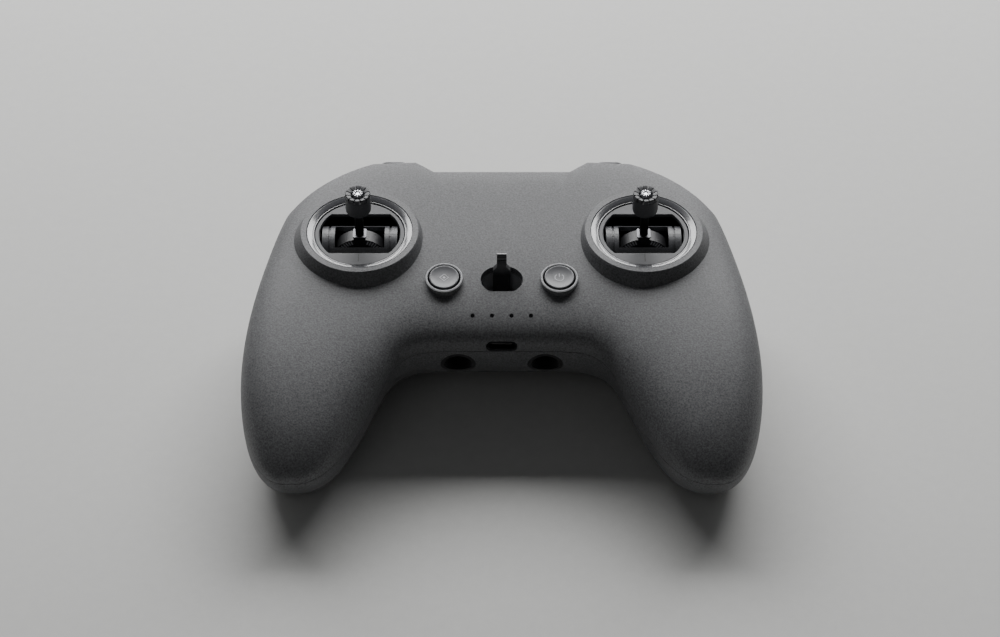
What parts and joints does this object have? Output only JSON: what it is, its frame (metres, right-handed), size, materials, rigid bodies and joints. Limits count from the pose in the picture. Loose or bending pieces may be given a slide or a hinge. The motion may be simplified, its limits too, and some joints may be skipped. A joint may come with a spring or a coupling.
{
  "type": "radio transmitter controller",
  "caption": "Gamepad-shaped radio transmitter with two sprung stick gimbals, face buttons, shoulder controls and stick storage sockets.",
  "frame": {"origin": "middle of the bounding box's base, on the plane that the transmitter lies on", "axes": "+Z out of the front face, +Y towards the shoulder edge away from the user, +X to the user's right"},
  "size_m": [0.1652, 0.1208, 0.062],
  "materials": {
    "shell_plastic": "fine spark-eroded grain",
    "bezel_finish": "dark satin paint on a turned ring",
    "gimbal_plastic": "dark filled nylon",
    "cap_plastic": "black, satin",
    "stick_metal": "turned, bead blasted",
    "pressed_steel": "stamped strip",
    "screw_steel": "black oxide",
    "button_plastic": "finer grain than the shell",
    "hook_plastic": "gloss black",
    "socket_rubber": "matt",
    "circuit_board": "solder mask",
    "port_metal": "nickel plated",
    "light_pipe": "clear acrylic, frosted tips",
    "cell_sleeve": "shrink sleeve"
  },
  "bodies": {
    "housing": {"antenna_left": "circuit_board", "antenna_right": "circuit_board", "battery_cell": "cell_sleeve", "battery_cradle": "gimbal_plastic", "board_screws": "screw_steel", "buzzer": "gimbal_plastic", "centring_leaf_left": "pressed_steel", "centring_leaf_right": "pressed_steel", "dial_bracket": "gimbal_plastic", "dial_plate": "button_plastic", "front_shell": "shell_plastic", "function_switch": "gimbal_plastic", "gimbal_base_left": "gimbal_plastic", "gimbal_base_right": "gimbal_plastic", "gimbal_bezel_left": "bezel_finish", "gimbal_bezel_right": "bezel_finish", "gimbal_board_left": "circuit_board", "gimbal_board_right": "circuit_board", "gimbal_cover_left": "gimbal_plastic", "gimbal_cover_right": "gimbal_plastic", "lanyard_cup": "hook_plastic", "lanyard_hook": "hook_plastic", "light_pipes": "light_pipe", "main_board": "circuit_board", "mode_switch_case": "gimbal_plastic", "port_shell": "port_metal", "port_tongue": "gimbal_plastic", "power_switch": "gimbal_plastic", "processor_shield": "pressed_steel", "radio_shield": "pressed_steel", "rear_screws": "screw_steel", "rear_shell": "shell_plastic", "return_switch": "gimbal_plastic", "shutter_plate": "button_plastic", "shutter_switch": "circuit_board", "status_leds": "light_pipe", "storage_socket_left": "socket_rubber", "storage_socket_right": "socket_rubber"},
    "pitch_left": {"gimbal_drum_left": "gimbal_plastic", "drum_magnet_left": "pressed_steel"},
    "stick_left": {"stick_block_left": "gimbal_plastic", "stick_clip_left": "pressed_steel", "stick_rod_left": "stick_metal"},
    "cap_left": {"stick_cap_left": "cap_plastic", "stick_star_left": "stick_metal"},
    "pitch_right": {"gimbal_drum_right": "gimbal_plastic", "drum_magnet_right": "pressed_steel"},
    "stick_right": {"stick_block_right": "gimbal_plastic", "stick_clip_right": "pressed_steel", "stick_rod_right": "stick_metal"},
    "cap_right": {"stick_cap_right": "cap_plastic", "stick_star_right": "stick_metal"},
    "function_button_body": {"function_button": "button_plastic"},
    "power_button_body": {"power_button": "button_plastic"},
    "gimbal_dial_body": {"gimbal_dial": "socket_rubber"},
    "shutter_button_body": {"shutter_button": "button_plastic"},
    "mode_slider_body": {"mode_slider": "gimbal_plastic"},
    "return_button_body": {"return_button": "button_plastic"}
  },
  "joints": [
    {"name": "left_stick_up_down", "type": "hinge", "parent": "housing", "child": "pitch_left", "pos_m": [-0.0462, 0.0256, 0.0348], "axis": [-1, 0, 0], "range_deg": [-25, 25], "stiffness_Nm_per_rad": 0.03},
    {"name": "left_stick_left_right", "type": "hinge", "parent": "pitch_left", "child": "stick_left", "pos_m": [-0.0462, 0.0256, 0.0348], "axis": [0, 1, 0], "range_deg": [-25, 25], "stiffness_Nm_per_rad": 0.03},
    {"name": "left_cap_turn", "type": "hinge", "parent": "stick_left", "child": "cap_left", "pos_m": [-0.0462, 0.0256, 0.058], "axis": [0, 0, 1], "range_deg": [-180, 180]},
    {"name": "right_stick_up_down", "type": "hinge", "parent": "housing", "child": "pitch_right", "pos_m": [0.0462, 0.0256, 0.0348], "axis": [-1, 0, 0], "range_deg": [-25, 25], "stiffness_Nm_per_rad": 0.03},
    {"name": "right_stick_left_right", "type": "hinge", "parent": "pitch_right", "child": "stick_right", "pos_m": [0.0462, 0.0256, 0.0348], "axis": [0, 1, 0], "range_deg": [-25, 25], "stiffness_Nm_per_rad": 0.03},
    {"name": "right_cap_turn", "type": "hinge", "parent": "stick_right", "child": "cap_right", "pos_m": [0.0462, 0.0256, 0.058], "axis": [0, 0, 1], "range_deg": [-180, 180]},
    {"name": "function_button_press", "type": "slide", "parent": "housing", "child": "function_button_body", "axis": [0, 0, -1], "range_m": [0, 0.0008], "stiffness_N_per_m": 600, "springref_m": -0.0006},
    {"name": "power_button_press", "type": "slide", "parent": "housing", "child": "power_button_body", "axis": [0, 0, -1], "range_m": [0, 0.0008], "stiffness_N_per_m": 600, "springref_m": -0.0006},
    {"name": "shutter_button_press", "type": "slide", "parent": "housing", "child": "shutter_button_body", "axis": [0, -1, 0], "range_m": [0, 0.0008], "stiffness_N_per_m": 600, "springref_m": -0.0006},
    {"name": "return_button_press", "type": "slide", "parent": "housing", "child": "return_button_body", "axis": [0, -1, 0], "range_m": [0, 0.0008], "stiffness_N_per_m": 600, "springref_m": -0.0006},
    {"name": "gimbal_dial_turn", "type": "hinge", "parent": "housing", "child": "gimbal_dial_body", "pos_m": [-0.036, 0.0532, 0.032], "axis": [1, 0, 0], "range_deg": [-30, 30], "stiffness_Nm_per_rad": 0.004},
    {"name": "mode_slider_slide", "type": "slide", "parent": "housing", "child": "mode_slider_body", "axis": [1, 0, 0], "range_m": [-0.0025, 0.0025]}
  ]
}
